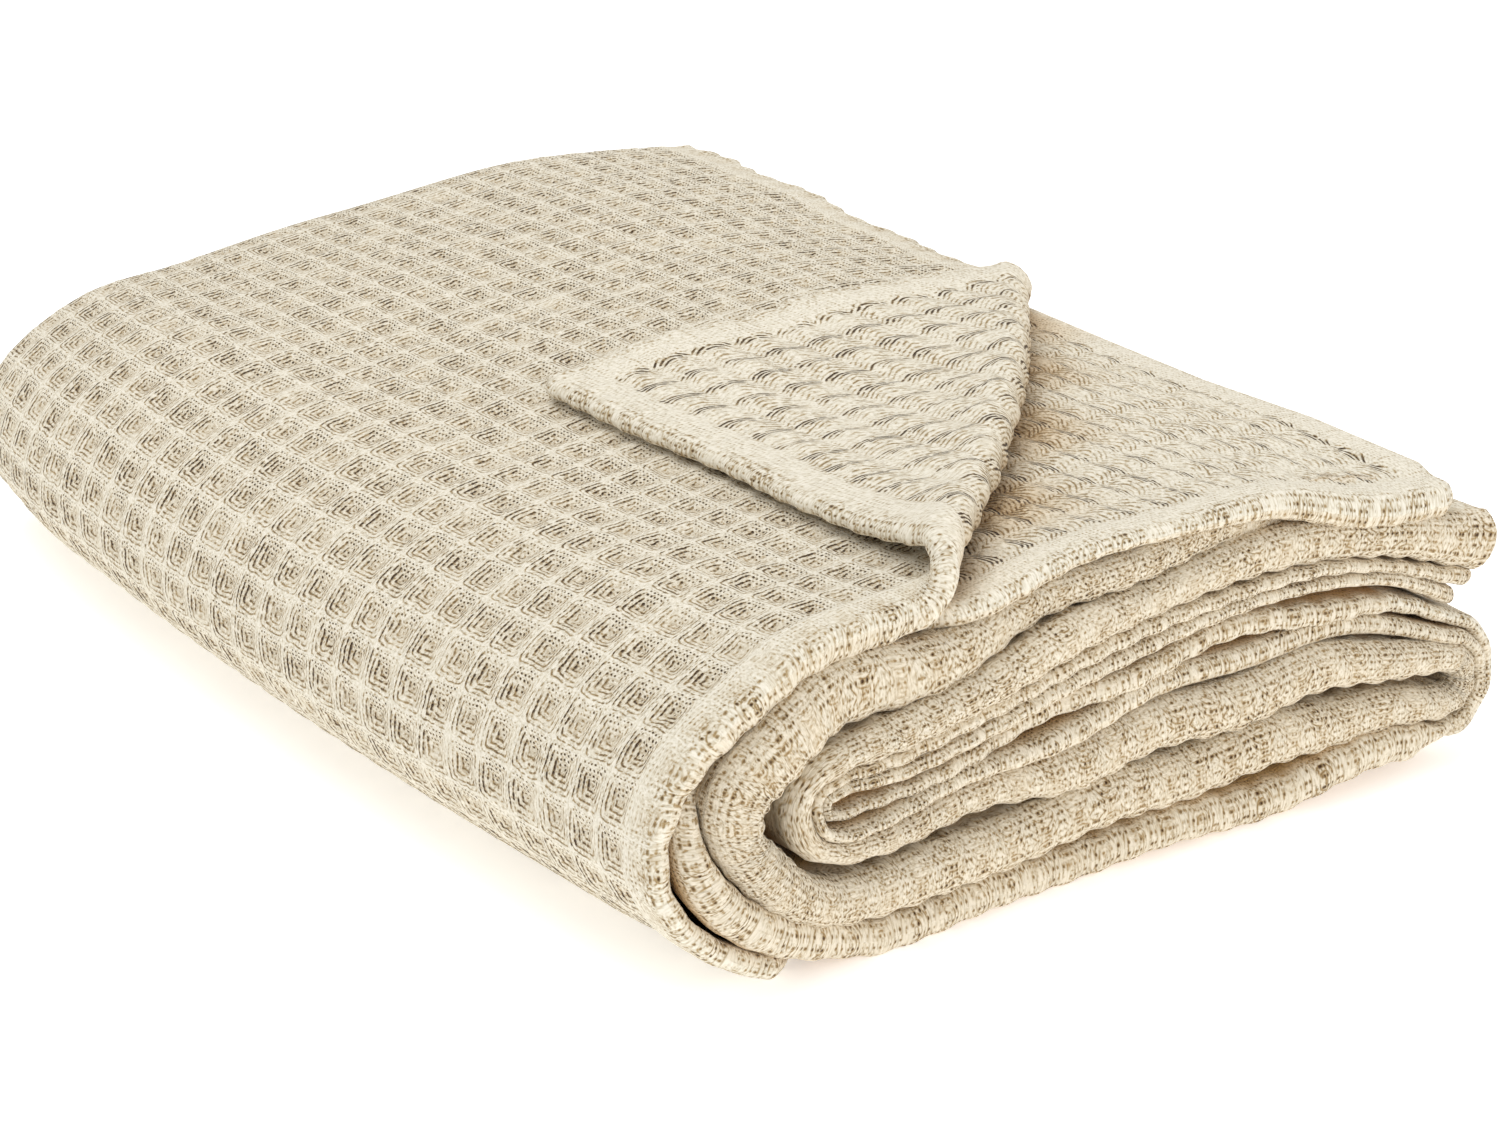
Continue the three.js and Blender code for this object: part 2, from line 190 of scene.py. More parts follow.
# The camera of the photograph, in degrees and metres
CAMERA_PLACE = (-0.8359, -1.2216, 0.6688)
CAMERA_TURN = (90 - 23.49, 0.0, -35.45)
CAMERA_LENS = 113.16            # mm
CAMERA_FILM = 36.0              # mm

# Undyed cotton: its colour in sRGB, from a thread on top of the weave to an open slit. The paler
# tones are the cotton's own colour, and the darker ones are painted shade: in the slits, at the
# bottom of the pits and deep between the layers.
COTTON_AND_SHADE_TONES = ((0.0, "#f3ecdc"), (0.15, "#e4dcc8"), (0.45, "#af966c"), (1.0, "#4a2f16"))
BETWEEN_LAYERS = "#e1bc82"      # painted warm light and shade on cloth deep between the layers, lit through its neighbours
BETWEEN = (3.5, 10.0)           # mm from an edge, over which the cloth goes in between layers
EDGE_WARMTH = 0.15              # how much of the warm light there reaches the edge
PIT_WARMTH = 0.08               # and how much of it there is at the bottom of a pit
INNER_END = (16.0, 34.0)        # mm of the strip's inner end that the top end leaves in the light
BARE_GROWS = (-8.0, 20.0)       # mm past the crease, over which bare cloth comes out into it
THREAD_TONE = 0.07              # place of a yarn of middling colour between those tones
PIT_SHADE = 0.1                  # painted shade: how much darker threads are at the bottom of a pit
DEEP_SHADE = 0.5                 # and the painted shade deep between the layers
DEEP = (15.0, 40.0)             # mm from the edge, over which that grows
YARN = 0.9                      # how much the colour changes from yarn to yarn
YARN_STREAKS = (0.5, 1.5)       # how often it changes along a yarn and across it
THREAD_HEIGHT = 0.7             # mm that a thread stands over the slits beside it
YARN_HEIGHT = 0.7               # how uneven the yarns make that, as a share of it
FIBRE_HEIGHT = 0.3              # and the loose fibres
FIBRES = 1.3                    # how close the fibres lie, as the noise's scale for a mm

# How threads stray from straight over a cell and over a thread: the scale of the noise, and mm
THREAD_DRIFT = ((0.16, 0.8), (0.7, 0.14))

# How unequally slits and whole cells are open: the scale of the noise, then what it is
# multiplied by and what is added
UNEVEN_SLITS = (0.5, 4.6, -1.6)
UNEVEN_CELLS = (0.08, 2.6, -0.3)

# The slits between threads. A power makes the waves that they follow narrower, and places and
# lengths are in cells where no unit is given. Pairs are places between which a slit opens.
SLIT_POWER = 3.0
PIT_SQUARENESS = 8.0            # of the squares of floats: 2 is a circle, and more is squarer
PIT_EDGE = 0.475                # the slits lie inside this, and the ribs outside it
PIT_RIM = (0, 1 / 24)           # inwards from there
FAR_SIDE = (-0.25, 0.25)        # from the near side of a pit to its far side
LOWER_SIDE = (-1 / 12, 1 / 12)  # from its upper side to its lower side
DIAGONAL = (-1 / 24, 1 / 24)    # from the near and far sides to the other two
LONG_SLITS = (0.65, 1.3)        # how open the slits are on the near and far side of a pit
CROSSED = 0.5                   # what a crossing thread leaves open of them
END_SLITS = (1.3, 0.6)          # the pinholes on its upper side, the slits on its lower side
DOT_POWER = 2.0                 # of those pinholes
HOLE_POWER = 1.6                # of the pinholes at the other thread crossings
PINHOLES = 0.2                  # how open those are
HEM_PINHOLES = 0.3              # and on a hem
HEM_END = (17.0, 14.5)          # mm from the edge
ARCH = {"pitch": 1 / 7, "rise": 0.3, "power": 2.4, "open": (1.5, 0.04)}  # on the reverse
ARCH_GROUP = {"reach": 0.26, "sides": (0, 1 / 12), "width": 0.36, "taper": -0.7,
              "ends": (-0.05, 0.075)}
ARCH_FAINT = 0.24               # how open the slits are outside the groups of arches
NOSE_OVAL = 14.0                # mm: size of the ovals on a rounded edge
NOSE_OPEN = {"ovals": 0.3, "holes": 0.75}
NOSE_HOLES = (1 / 6, 2.3)       # steps of the pinholes there, in cells and mm
NOSE_POWER = 2.2
NOSE_END = (9.0, 4.0)           # mm round the edge

# The floor and the light, in metres and watts
FLOOR_SIZE = 12.0
FLOOR_LEVEL = -0.0003           # just under the cloth
FLOOR_WHITE = "#ffffff"
FLOOR_GLOW = 0.4                # light from under the white floor, as on a light table
ROOM_LIGHT = 0.6                # even light from all round

# The soft boxes: place, side and power
SOFT_BOXES = {
    "softbox_above": ((-0.4, 0.4, 2.2), 1.6, 25),
    "softbox_front": ((0.6, -2.4, 0.7), 1.8, 19),
}
LIGHT_AIM = (0, 0, 0.05)


def smoothstep(value, low, high):
    """The share of the way from low to high, eased at both ends."""
    share = np.clip((value - low) / (high - low), 0.0, 1.0)
    return share * share * (3.0 - 2.0 * share)


def lerp(a, b, share):
    """The value a share of the way from a to b."""
    return a + (b - a) * share


def sine(distance, length, start):
    """A wave along the strip, from -1 to 1."""
    return np.sin(2 * math.pi * distance / length + start)


def stretch(distance, span):
    """1 on a stretch of the strip, easing off at its ends."""
    start = smoothstep(distance, *span["from"]) if "from" in span else 1.0
    return start * (1 - smoothstep(distance, *span["to"]))


def by_layer(row, values):
    """The value of each row's layer."""
    return np.select([row["layer"] == layer for layer in values], list(values.values()))


def strip_table(samples=9000):
    """Closely spaced points of the strip's middle line, by the distance run along it.

    The line is a centripetal Catmull-Rom curve through the places in STRIP."""
    knots = np.array([(x, half, z) for x, z, half in STRIP], float)
    knots = np.vstack([2 * knots[0] - knots[1], knots, 2 * knots[-1] - knots[-2]])
    place = np.linspace(0, len(STRIP) - 1, samples)
    first = np.minimum(place.astype(int), len(STRIP) - 2)
    w = (place - first)[:, None]
    p0, p1, p2, p3 = (knots[first + i] for i in range(4))
    gaps = [np.linalg.norm(b - a, axis=1)[:, None] ** 0.5
            for a, b in ((p0, p1), (p1, p2), (p2, p3))]
    leave = ((p1 - p0) / gaps[0] - (p2 - p0) / (gaps[0] + gaps[1]) + (p2 - p1) / gaps[1]) * gaps[1]
    arrive = ((p2 - p1) / gaps[1] - (p3 - p1) / (gaps[1] + gaps[2]) + (p3 - p2) / gaps[2]) * gaps[1]
    square = 3 * (p2 - p1) - 2 * leave - arrive
    cube = 2 * (p1 - p2) + leave + arrive
    line = p1 + leave * w + square * w ** 2 + cube * w ** 3
    steps = np.linalg.norm(np.diff(line, axis=0), axis=1)
    run = np.concatenate([[0.0], np.cumsum(steps)])
    slope = np.gradient(line, run, axis=0)
    length = np.hypot(slope[:, 0], slope[:, 2])
    return {
        "run": run, "x": line[:, 0], "half": line[:, 1], "z": line[:, 2],
        "out_x": slope[:, 2] / length, "out_z": -slope[:, 0] / length,
    }


# The strip's middle line, and its length
TABLE = strip_table()
LENGTH = TABLE["run"][-1]


def strip_at(distance):
    """Points of the strip's middle line, and the side that the outer layer lies on."""
    inside = np.clip(distance, 0, LENGTH)
    at = {name: np.interp(inside, TABLE["run"], TABLE[name])
          for name in ("x", "half", "z", "out_x", "out_z")}
    beyond = distance - inside
    at["x"] = at["x"] - beyond * at["out_z"]
    at["z"] = at["z"] + beyond * at["out_x"]
    forwards = at["out_z"] < 0
    at["under"] = np.where(forwards, 1 - smoothstep(at["z"], *OFF_TABLE), 0)
    return at


def cloth_distances():
    """Distances along the strip at which the cloth has run 0, 1, 2 and so on mm.

    The cloth is measured a little inside the outer layer, which stretches round the folds."""
    level = NEUTRAL * OUTER_LEVEL * TABLE["half"]
    x = TABLE["x"] + TABLE["out_x"] * level
    z = TABLE["z"] + TABLE["out_z"] * level
    steps = np.hypot(np.diff(x), np.diff(z))
    run = np.concatenate([[0.0], np.cumsum(steps)])
    marks = np.arange(0, run[-1], 1.0)
    return np.append(marks, run[-1]), np.append(np.interp(marks, run, TABLE["run"]), LENGTH)


# Runs of the cloth, and the distances along the strip at which they lie
CLOTH_RUN, CLOTH_DISTANCE = cloth_distances()


def nose_steps():
    """Distances from a rounded edge at which the cloth has a line of points."""
    return [NOSE * (1 - math.cos(0.5 * math.pi * i / NOSE_STEPS)) for i in range(NOSE_STEPS + 1)]


def cell_steps(start, end, step):
    """Evenly spaced places after start, the last of them at end."""
    count = max(1, round((end - start) / step))
    return [lerp(start, end, i / count) for i in range(1, count + 1)]


def mesh_columns():
    """Places of the mesh's columns, in mm of cloth along the strip."""
    edge = nose_steps() + list(LIP_ROWS + HEM_ROWS)
    step = CELL[0] / CELL_STEPS
    count = int((CLOTH_RUN[-1] - 2 * HEM_WIDTH) / step)
    cells = [HEM_WIDTH + step * i for i in range(1, count)]
    return np.array(edge + cells + [CLOTH_RUN[-1] - place for place in reversed(edge)])


class Rows:
    """Rows of the mesh across the cloth: down the outer hem layer, round the back fold and so
    on. level is the place across the strip in half strips, and (face_y, face_level) is the
    side that the waffle face looks to. grain is the row's place in the weave."""

    def __init__(self):
        self.items = []
        self.stops = []

    def flat(self, layer, level, face, places):
        """Rows of a flat layer, at the given distances from the front."""
        ends = ENDS[layer]
        near, far = ends["between"]
        folded = layer in (OUTER_FOLD, INNER_FOLD)
        for y in places:
            self.items.append({
                "layer": layer, "y": y, "level": level, "face_y": 0.0, "face_level": face,
                "grain": y, "flat": 1.0, "finish": ends["finish"],
                "from_nose": FOLD_ARC + y - FRONT_FOLD if folded else FAR,
                "start": ends["start"] + ends["skew"] * min(max((y - near) / (far - near), 0), 1),
            })

    def fold(self, into, y, bulge, to_level, side, steps):
        """Rows of a half-round fold from the last row to the layer that it leads into."""
        last = self.items[-1]
        rise = (to_level - last["level"]) / 2
        middle = (to_level + last["level"]) / 2
        nose = abs(bulge) * math.pi / 2
        front = bulge < 0
        blunt = FOLD_BLUNT if front else 1.0
        for i in range(1, steps):
            angle = math.pi * (i / steps - 0.5)
            self.items.append({
                "layer": into, "y": y + bulge * math.cos(angle) ** blunt,
                "level": middle + rise * math.copysign(abs(math.sin(angle)) ** blunt, angle),
                "face_y": side * math.cos(angle) * math.copysign(1, bulge),
                "face_level": side * math.sin(angle) * math.copysign(1, rise),
                "grain": HEM_WIDTH + CELL[1] / 2 + nose * (2 * i / steps - 1) if front
                else last["grain"] + nose * 2 * i / steps,
                "from_nose": nose * abs(2 * i / steps - 1) if front else FAR,
                "flat": 0.0, "finish": lerp(last["finish"], ENDS[into]["finish"], i / steps),
                "start": lerp(last["start"], ENDS[into]["start"], i / steps),
            })

    def stop(self):
        """The last row is also a row of the coarse mesh."""
        self.stops.append(len(self.items) - 1)

    def column(self, name):
        """One value of each row, as a column of numbers."""
        return np.array([row[name] for row in self.items], float)[:, None]


def cloth_rows():
    """All rows of the mesh, with the stops of its coarse parts."""
    rows = Rows()
    lip = nose_steps() + list(LIP_ROWS)
    fine = CELL[1] / CELL_STEPS
    inner = DEPTH - INNER_BACK

    def run(layer, level, face, places, step):
        for start, end in zip(places, places[1:]):
            rows.flat(layer, level, face, cell_steps(start, end, step))
            rows.stop()

    rows.flat(OUTER_HEM, OUTER_LEVEL, 1, lip[:1])
    rows.stop()
    rows.flat(OUTER_HEM, OUTER_LEVEL, 1, lip[1:])
    rows.stop()
    rows.flat(OUTER_HEM, OUTER_LEVEL, 1, HEM_ROWS)
    blocks = (0, *np.arange(0.5, (DEPTH - HEM_WIDTH) / CELL[1] - BLOCK_CELLS / 2, BLOCK_CELLS))
    cells = [HEM_WIDTH + CELL[1] * count for count in blocks]
    run(OUTER_HEM, OUTER_LEVEL, 1, cells + [DEPTH], fine)
    rows.fold(OUTER_FOLD, DEPTH, BACK_BULGE, -OUTER_LEVEL, 1, FOLD_STEPS["back"])
    rows.flat(OUTER_FOLD, -OUTER_LEVEL, -1, [DEPTH])
    rows.stop()
    run(OUTER_FOLD, -OUTER_LEVEL, -1, [DEPTH, *reversed(COARSE_ROWS), FRONT_BAND], PLAIN_STEP)
    run(OUTER_FOLD, -OUTER_LEVEL, -1, [FRONT_BAND, FRONT_FOLD], FOLD_STEP)
    rows.fold(INNER_FOLD, FRONT_FOLD, -FRONT_FOLD, -INNER_LEVEL, 1, FOLD_STEPS["front"])
    rows.flat(INNER_FOLD, -INNER_LEVEL, 1, [FRONT_FOLD])
    rows.stop()
    run(INNER_FOLD, -INNER_LEVEL, 1, [FRONT_FOLD, FRONT_BAND], FOLD_STEP)
    run(INNER_FOLD, -INNER_LEVEL, 1, [FRONT_BAND, *COARSE_ROWS, inner], PLAIN_STEP)
    rows.fold(INNER_HEM, inner, INNER_BULGE, INNER_LEVEL, -1, FOLD_STEPS["inner_back"])
    rows.flat(INNER_HEM, INNER_LEVEL, -1, [inner])
    rows.stop()
    near = cells[:BARE_BLOCKS]
    run(INNER_HEM, INNER_LEVEL, -1, [inner, *COARSE_ROWS[:1:-1], near[-1]], PLAIN_STEP)
    run(INNER_HEM, INNER_LEVEL, -1, near[:0:-1] + near[:1], fine)
    rows.stops.pop()
    rows.flat(INNER_HEM, INNER_LEVEL, -1, [HEM_ROWS[0], LIP_ROWS[1]])
    rows.stop()
    rows.flat(INNER_HEM, INNER_LEVEL, -1, lip[-2::-1])
    rows.stop()
    return rows


def column_stops(columns):
    """Columns at which the coarse parts of the mesh have points, closer in the bends."""
    distance = np.interp(columns, CLOTH_RUN, CLOTH_DISTANCE)
    at = strip_at(distance)
    angle = np.unwrap(np.arctan2(at["out_z"], at["out_x"]))
    last = len(columns) - 1
    edge = len(nose_steps()) + len(LIP_ROWS + HEM_ROWS) - 1
    stops = [0, edge]
    for i in range(edge + 1, last - edge):
        far = distance[i] - distance[stops[-1]] > LONGEST_STEP
        turned = abs(angle[i] - angle[stops[-1]]) > SHARPEST_TURN
        if far or turned:
            stops.append(i)
    return stops + [last - edge, last]


def tucked(y, at):
    """How much of the tuck along the table a point near the front has."""
    return at["under"] * stretch(at["x"], TUCK) * (1 - smoothstep(y, *TUCK["rows"]))


def half_thickness(row, at, freed):
    """Half the thickness of the cloth, which is less towards its edge and off the hems.

    freed is the extra room that it has over its room in the pile."""
    edge = row["edge"]
    room = at["half"] * (OUTER_LEVEL - INNER_LEVEL) / 2 - AIR + freed
    bulge = np.where(row["layer"] == INNER_HEM, tucked(row["y"], at) ** 3, 0)
    hem = lerp(np.minimum(HEM_HALF + freed, room), UNDER_HALF, bulge)
    folded = (row["layer"] == OUTER_FOLD) | (row["layer"] == INNER_FOLD)
    from_fold = np.where(folded, np.maximum(row["y"], 0), np.inf)
    inwards = smoothstep(np.minimum(edge, from_fold), *HEM_THINS)
    thick = lerp(hem, np.minimum(PLY_HALF, room), inwards)
    round_off = 1 - np.clip(edge / np.maximum(NOSE, THICK_NOSE * thick), BLUNT_NOSE, 1)
    return thick * np.sqrt(1 - round_off ** 2)


def slipped(row):
    """How far a layer's front has slipped across the strip, the room that it gains on both
    sides, and the room that it gains on its reverse alone."""
    distance = row["distance"]
    inner, outer = row["layer"] == INNER_HEM, row["layer"] == OUTER_HEM
    front = 1 - smoothstep(row["y"], *SLIP_ROWS)
    in_fold = smoothstep(row["level"], -OUTER_LEVEL, -INNER_LEVEL)
    droop = stretch(distance, DROOP) * inner * (1 - smoothstep(row["y"], *DROOP["rows"]))
    swell = stretch(distance, SWELL) * front
    hang = stretch(distance, OVERHANG)
    end = stretch(LENGTH - distance, FULL_END) * front
    fold = swell * lerp(SWELL["back"], SWELL["fold"], in_fold)
    fold = fold + hang * front * OVERHANG["fold"] * in_fold + end * FULL_END["back"] * (1 - in_fold)
    waves = {layer: sine(distance, *edge[-1]) for layer, edge in FRONT_EDGES.items()}
    move = droop * DROOP["down"] + swell * inner * SWELL["hem"] + fold * ~(inner | outer)
    move = move + QUICK_WAVE["up"] * front * by_layer(row, waves)
    both = droop * DROOP["thick"] + swell * inner * SWELL["thick"]
    return move, both, hang * outer * OVERHANG["thick"]


def front_run(row, at):
    """How far each layer's front edge lies in from the front, fading towards the back."""
    distance = row["distance"]
    drooped = DROOP["hide"] * stretch(distance, DROOP)
    hidden = {
        OUTER_HEM: TUCK["in"] * (1 - (1 - tucked(0, at)) ** 3),
        INNER_HEM: OVERHANG["hide"] * stretch(distance, OVERHANG),
        OUTER_FOLD: drooped, INNER_FOLD: drooped,
    }
    places = {}
    for layer, (mean, (size, length, start), quick) in FRONT_EDGES.items():
        waves = size * sine(distance, length, start), QUICK_WAVE["out"] * sine(distance, *quick)
        places[layer] = mean + waves[0] + waves[1] + hidden[layer]
    run = by_layer(row, places) - CORE["out"] * stretch(distance, CORE)
    return run * (1 - smoothstep(row["y"], 0, FRONT_FADE))


def in_cell(place, size):
    """How far a place is from the middle of its cell, in cells: 0.5 is on a ridge."""
    share = (place - HEM_WIDTH) / size
    return np.abs(share - np.floor(share) - 0.5)


def weave_relief(along, across, strength):
    """Height of the waffle face and of the reverse over the plain cloth."""
    a = in_cell(along, CELL[0])
    b = in_cell(across, CELL[1])
    ridge = np.sin(math.pi * np.maximum(a, b))
    lump = (np.cos(math.pi * a) * np.cos(math.pi * b)) ** 2
    face = strength * (PROUD - PIT * (1 - ridge))
    reverse = strength * (BULGE * lump - HOLLOW)
    return face, reverse


def from_crease(x, y):
    """How far along the crease points lie, as a share of it, and how far beyond it in mm."""
    x, y = x - CREASE[0][0], y - CREASE[0][1]
    along = np.clip((x * CREASE_WAY[0] + y * CREASE_WAY[1]) / CREASE_LENGTH, 0, 1)
    beyond = x * CREASE_WAY[1] - y * CREASE_WAY[0]
    return along, beyond - CREASE_SAG * np.sin(math.pi * along)


def crease_reach(at, row, base):
    """How far each point of the hemmed layers lies beyond the crease, in mm."""
    beyond = from_crease(at["x"] + at["out_x"] * OUTER_LEVEL * at["half"], row["y"])[1]
    return np.where(base < TOP_RUN, beyond, -FAR)


def turn_back(point, at, thick):
    """Turns the points of the top layer beyond the crease back over it."""
    along, beyond = from_crease(point["x"], point["y"])
    radius = lerp(*CREASE_RADIUS, along)
    bend = np.clip(beyond / radius, 0, math.pi)
    past = (beyond - bend * radius) * FLAP_STRETCH
    rest = lerp(2 * radius, FLAP_REST, 1 - np.exp(-np.maximum(past, 0) / FLAP_SETTLE))
    turning = bend < math.pi
    across = np.where(turning, (radius - thick) * np.sin(bend), -past)
    height = np.where(turning, radius - (radius - thick) * np.cos(bend), rest - thick)
    slant = FLAP_SLANT * np.maximum(past, 0)
    turned_x = point["x"] + (across - beyond) * CREASE_WAY[1] + slant * CREASE_WAY[0]
    turned_y = point["y"] - (across - beyond) * CREASE_WAY[0] + slant * CREASE_WAY[1]
    turned_z = top_height(turned_x) + height
    upright = smoothstep(beyond, -LEVEL_OFF, 0)
    lean = 1 - upright
    flat_x = point["x"] + thick * at["out_x"] * lean
    flat_z = top_height(point["x"]) + thick * lerp(at["out_z"], 1, upright)
    over = beyond > 0
    return {"x": np.where(over, turned_x, flat_x), "y": np.where(over, turned_y, point["y"]),
            "z": np.where(over, turned_z, flat_z)}


def top_height(x):
    """Height of the top layer's middle on the front face, at a place along X."""
    top = slice(0, np.argmax(TABLE["x"] < SHOULDER_END))
    level = OUTER_LEVEL * TABLE["half"][top]
    place = TABLE["x"][top] + TABLE["out_x"][top] * level
    height = TABLE["z"][top] + TABLE["out_z"][top] * level
    height = height + LOOSE * smoothstep(TABLE["x"][top], SHOULDER_X, LOOSE_X)
    return np.interp(x, place[::-1], height[::-1])


def sink_at(x, y):
    """Share of its front height that the pile keeps at a place."""
    share = [np.zeros_like(x) for _ in range(3)]
    for index, (near, far) in enumerate(zip(SINK, SINK[1:])):
        low = -np.inf if index == 0 else near[0]
        here = (y > low) & (y <= far[0]) if far is not SINK[-1] else y > low
        across = smoothstep(y, near[0], far[0])
        for i in range(3):
            share[i] = np.where(here, lerp(near[i + 1], far[i + 1], across), share[i])
    fold, middle, ends = share
    left, centre, right = SINK_X
    return np.where(x < centre, lerp(fold, middle, smoothstep(x, left, centre)),
                    lerp(middle, ends, smoothstep(x, centre, right)))


def settle(point):
    """The whole pile settles: it is higher at the thick front hems and leans back a little."""
    x, y, z = point["x"], point["y"], point["z"]
    left = 1 - smoothstep(x, *SINK_X[:2])
    back = np.clip(y / (DEPTH + BACK_BULGE), 0, 1)
    bow = LEFT_SIDE["out"] * smoothstep(y, *LEFT_SIDE["back"])
    bow = bow - LEFT_SIDE["in"] * np.sin(math.pi * back)
    ripple = RIPPLE["size"] * z / RIPPLE["height"]
    for place, (length, start) in ((x, RIPPLE["x"]), (y, RIPPLE["y"])):
        ripple = ripple * np.sin(place / length + start)
    height = np.maximum(0, z * sink_at(x, y) + ripple)
    return np.stack([x + bow * left, y + LEAN_BACK * z, height], axis=-1)


def round_corner(from_front, from_end):
    """How far a point near a hemmed corner moves in from the front and from the end."""
    front = np.clip(1 - from_front / CORNER, 0, 1)
    end = np.clip(1 - from_end / CORNER, 0, 1)
    length = np.maximum(np.hypot(front, end), 1e-6)  # never 0
    share = CORNER * (1 - np.maximum(front, end) / length)
    return share * front, share * end


def surface_run(edge):
    """Distance over the cloth's surface from the line round which its edge is rounded."""
    return NOSE * np.arccos(1 - np.clip(edge / NOSE, 0, 1)) + np.maximum(edge - NOSE, 0)


def lay_out(columns, rows):
    """What each row and point of the cloth is given: its place along the strip, in the weave
    and from the edges. The second part is where the strip's middle line runs beside it."""
    row = {name: rows.column(name) for name in rows.items[0]}
    base = np.interp(columns, CLOTH_RUN, CLOTH_DISTANCE)[None, :]
    distance = base + row["start"] * np.maximum(0, 1 - base / END_EASE)
    distance = distance - row["finish"] * np.maximum(0, 1 - (LENGTH - base) / END_EASE)
    hemmed = ((row["layer"] == OUTER_HEM) | (row["layer"] == INNER_HEM)) & (row["flat"] > 0)
    from_front = np.where(hemmed, row["y"], FAR)
    from_start, from_finish = distance - row["start"], LENGTH - row["finish"] - distance
    from_end = np.minimum(from_start, from_finish)
    straight, grain = columns[None, :], row["grain"]
    stray = [WANDER * np.sin(grain / length + straight / other)
             for length, other in (WANDER_ALONG, WANDER_ACROSS)]
    along, across = straight + stray[0], grain + stray[1]
    row.update({
        "base": base, "distance": distance, "hemmed": hemmed, "along": along, "across": across,
        "from_front": from_front, "from_finish": from_finish, "from_end": from_end,
        "edge": np.minimum(from_front, from_end),
        "reach": crease_reach(strip_at(distance), row, base),
        "swell": np.cos(math.pi * in_cell(along, CELL[0])) ** 2,
    })

    # The ends swell out between the ribs and run in and out, and the hemmed corners are round
    row["in_from_front"], inwards = round_corner(from_front, from_end)
    end_swell = np.cos(math.pi * in_cell(across, CELL[1])) ** 2
    wave = END_WAVE["size"] * sine(row["y"], END_WAVE["length"], row["layer"])
    wave = wave * (1 - smoothstep(from_end, 0, END_WAVE["fade"]))
    inwards = inwards - END_LUMP * end_swell * (1 - smoothstep(from_end, 0, LUMP_FADE)) + wave
    return row, strip_at(distance + np.where(from_start < from_finish, inwards, -inwards))


def cloth_points(row, at):
    """Every point of the cloth's two sides, in metres."""
    top = (row["layer"] == OUTER_HEM) & (row["flat"] > 0) & (at["x"] > SHOULDER_X)
    top = top & (row["base"] < TOP_RUN)
    nose = (1 - row["flat"]) * (row["from_nose"] < FAR)
    plain = lerp(HEM_RELIEF, 1, smoothstep(row["edge"], *HEM_PLAIN))
    lump = LUMP * row["swell"] * (1 - smoothstep(row["from_front"], 0, LUMP_FADE))
    lowered = np.where(row["layer"] == INNER_HEM, TUCK["down"] * tucked(row["y"], at) ** 3, 0)
    move, both_sides, on_reverse = slipped(row)
    level = (row["level"] + (lowered + move)) * at["half"]
    middle = {
        "x": at["x"] + at["out_x"] * level,
        "y": row["y"] + front_run(row, at) - lump + row["in_from_front"],
        "z": at["z"] + at["out_z"] * level,
    }
    sides = []
    for side in (1, -1):
        freed = np.where(row["layer"] == OUTER_HEM, FLAP_ROOM, BARE_ROOM * (side < 0))
        freed = np.where(row["hemmed"], freed, 0) * smoothstep(row["reach"], *ROOM_GROWS)
        freed = freed + both_sides + on_reverse * (side < 0)
        thick = half_thickness(row, at, freed)
        strength = lerp(plain, NOSE_RELIEF, nose) * np.minimum(1, thick / PLY_HALF)
        face, reverse = weave_relief(row["along"], row["across"], strength)
        height = side * (thick + (face if side > 0 else reverse))
        height = height + LUMP * row["swell"] * nose * (side > 0)
        turned = turn_back(middle, at, height)
        pile = {
            "x": middle["x"] + at["out_x"] * height * row["face_level"],
            "y": middle["y"] + height * row["face_y"],
            "z": middle["z"] + at["out_z"] * height * row["face_level"],
        }
        sides.append(settle({name: np.where(top, turned[name], pile[name]) for name in pile}))
    return (np.stack(sides) - (*MIDDLE, 0)) * MM


def weave_places(row):
    """Each point's place in the weave in mm, and 0 on the waffle face or 1 on the reverse."""
    along, across = row["along"], row["across"]
    return np.stack([np.stack([along, across, np.full_like(along, side)], axis=-1)
                     for side in (0, 1)])


def edge_places(row, at):
    """Each point's place at the edge: in cells from the middle of a lump, and in mm round the
    edge. The third value is 1 where the cloth lies between layers, out of the light."""
    run = row["from_nose"] - FOLD_ARC + NOSE * math.pi / 2
    run = np.minimum(surface_run(row["edge"]), run)
    by_front = row["from_front"] <= row["from_end"]
    lump = np.where(by_front | ~row["hemmed"], in_cell(row["along"], CELL[0]),
                    in_cell(row["across"], CELL[1]))
    between = lerp(EDGE_WARMTH, 1, smoothstep(run, *BETWEEN))
    base, layer = row["base"], row["layer"]
    open_face = (layer == OUTER_HEM) & open_side(base, at) | (row["y"] > DEPTH)
    inner_end = (layer == OUTER_FOLD) & (base > LENGTH / 2)
    inner_end = inner_end * (1 - smoothstep(row["from_finish"], *INNER_END))
    open_reverse = np.where(row["hemmed"], smoothstep(row["reach"], *BARE_GROWS), 0)
    return np.stack([np.stack([lump, run, between * (1 - opened)], axis=-1)
                     for opened in (np.maximum(open_face, inner_end), open_reverse)])


def open_side(base, at):
    """Where the outer layer's face is on the outside of the pile, and not under it."""
    outside = (base < LENGTH * OUTSIDE_SHARE) & (at["z"] > UNDERSIDE)
    second_fold = (at["x"] > SECOND_FOLD["x"]) & (base > LENGTH * SECOND_FOLD["from"])
    return outside | second_fold & (base < LENGTH * SECOND_FOLD["to"])


